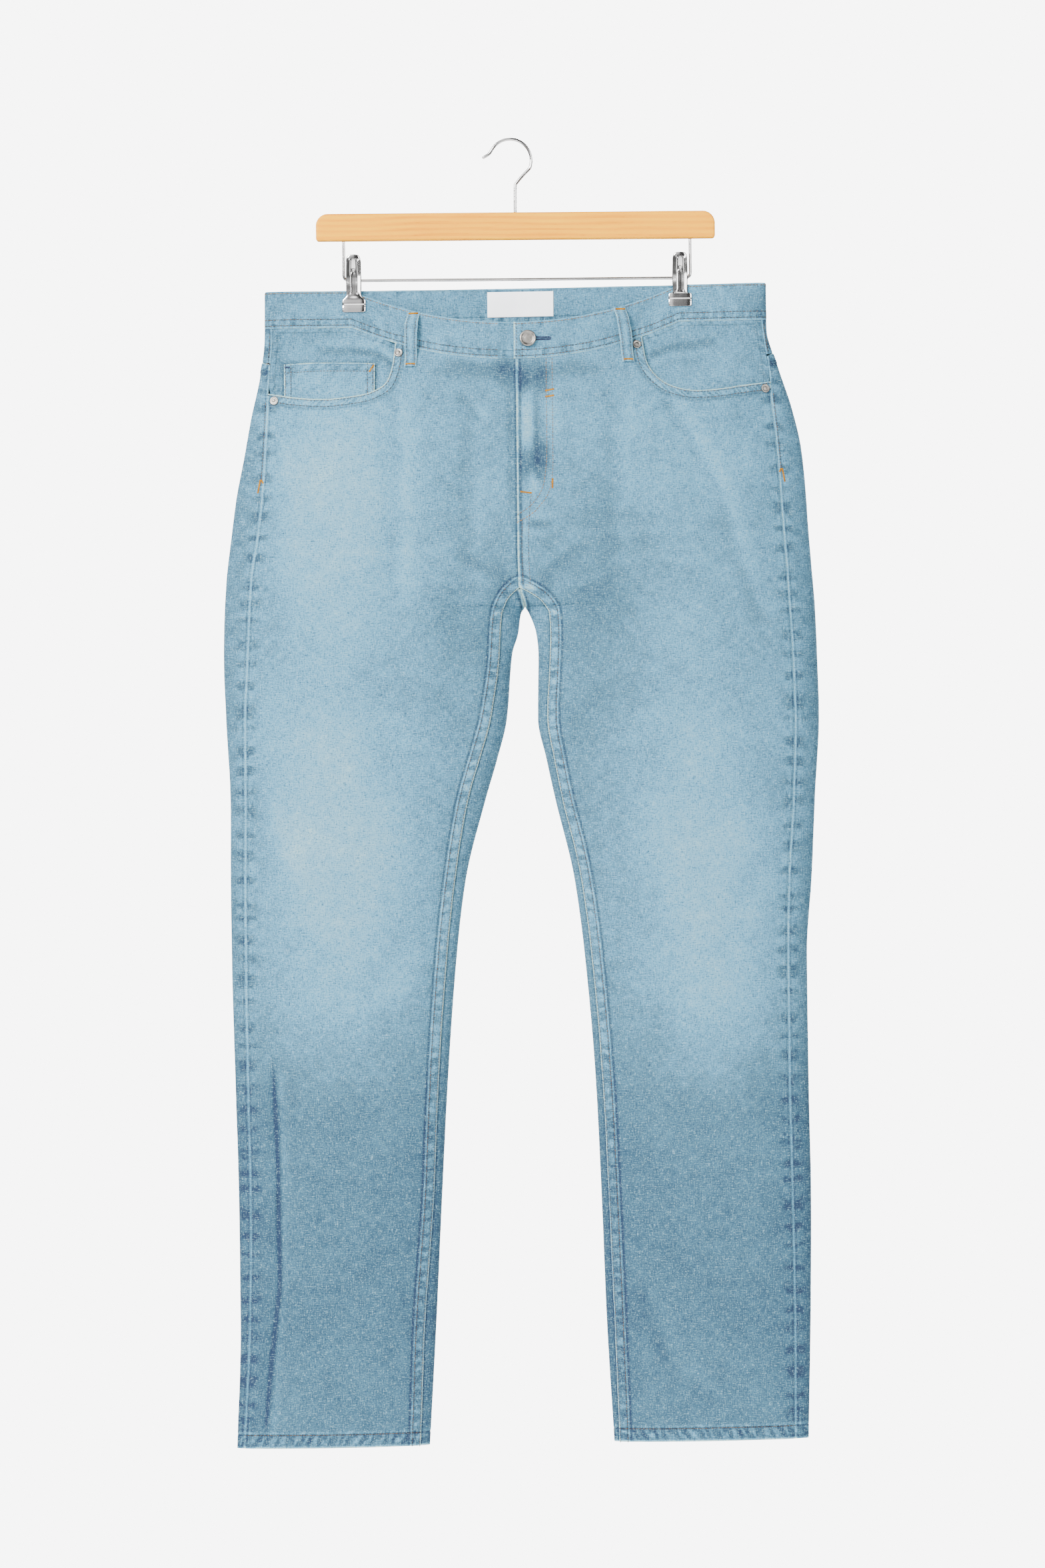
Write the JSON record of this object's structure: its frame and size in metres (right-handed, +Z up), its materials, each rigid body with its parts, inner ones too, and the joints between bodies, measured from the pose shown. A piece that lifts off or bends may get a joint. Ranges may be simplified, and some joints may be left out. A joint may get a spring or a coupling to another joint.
{
  "type": "slim jeans on a clip hanger",
  "caption": "Slim five-pocket jeans in pale washed denim, hung by the waistband from a wooden trouser hanger with sprung clips and a wire hook.",
  "frame": {"origin": "the point of the hook's crown that rests on a rail: the hanger hangs from it, with the waistband clipped below", "axes": "+Z up, the front of the jeans faces -Y, the wearer's left is +X"},
  "size_m": [0.5935, 0.0906, 1.305],
  "materials": {
    "denim": "pale blue washed cotton twill",
    "label": "white woven tape, bare",
    "zip_tape": "woven cotton tape",
    "fittings": "nickel plated, slightly worn",
    "bar_wood": "pale beech with a satin varnish",
    "hanger_steel": "polished chrome plate"
  },
  "bodies": {
    "root": {"front_right": "denim", "front_left": "denim", "back_right": "denim", "back_left": "denim", "yoke_right": "denim", "yoke_left": "denim", "waistband": "denim", "pocket_facing_right": "denim", "pocket_facing_left": "denim", "coin_pocket": "denim", "back_pocket_right": "denim", "back_pocket_left": "denim", "belt_loop_front_right": "denim", "belt_loop_front_left": "denim", "belt_loop_back_right": "denim", "belt_loop_back_left": "denim", "belt_loop_back_centre": "denim", "label": "label", "zip": "zip_tape", "button": "fittings", "rivet_right_inner": "fittings", "rivet_right_outer": "fittings", "rivet_left_inner": "fittings", "rivet_left_outer": "fittings", "hanger_bar": "bar_wood", "hanger_hook": "hanger_steel", "trouser_wire": "hanger_steel", "clip_front_right": "hanger_steel", "clip_back_right": "hanger_steel", "clip_spring_right": "hanger_steel", "clip_front_left": "hanger_steel", "clip_back_left": "hanger_steel", "clip_spring_left": "hanger_steel"}
  },
  "joints": []
}
